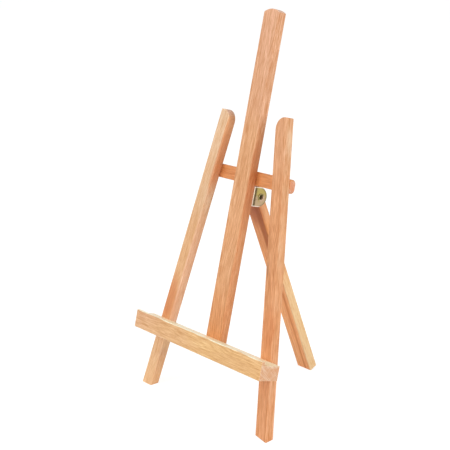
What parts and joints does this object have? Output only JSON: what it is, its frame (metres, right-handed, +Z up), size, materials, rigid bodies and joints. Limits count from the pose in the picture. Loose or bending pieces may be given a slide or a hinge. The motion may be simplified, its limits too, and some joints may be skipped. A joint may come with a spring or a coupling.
{
  "type": "tabletop easel",
  "caption": "Small wooden tabletop easel: splayed front frame with a tall central mast, a lipped ledge and a crossbar, and a rear leg that folds on a riveted metal bracket.",
  "frame": {"origin": "on the table, at the centre of the easel's bounding box", "axes": "+Z up, +Y away from someone who faces the easel, +X to their right"},
  "size_m": [0.2244, 0.1652, 0.419],
  "materials": {
    "beech_mast": "clear satin lacquer",
    "beech_left_stile": "clear satin lacquer",
    "beech_right_stile": "clear satin lacquer",
    "beech_ledge": "clear satin lacquer",
    "beech_crossbar": "clear satin lacquer",
    "beech_rear_leg": "clear satin lacquer",
    "bracket_plating": "yellow zinc plated sheet",
    "rivet_plating": "yellow zinc plated",
    "screw_plating": "yellow zinc plated"
  },
  "bodies": {
    "front_frame": {"mast": "beech_mast", "left_stile": "beech_left_stile", "right_stile": "beech_right_stile", "ledge": "beech_ledge", "crossbar": "beech_crossbar", "hinge_bracket": "bracket_plating", "hinge_rivet": "rivet_plating", "crossbar_screws": "screw_plating", "ledge_screws": "screw_plating", "bracket_screws": "screw_plating"},
    "rear_leg": {"rear_leg": "beech_rear_leg"}
  },
  "joints": [
    {"name": "leg_fold", "type": "hinge", "parent": "front_frame", "child": "rear_leg", "pos_m": [0, 0.01609, 0.22263], "axis": [1, 0, 0], "range_deg": [-34, 0]}
  ]
}
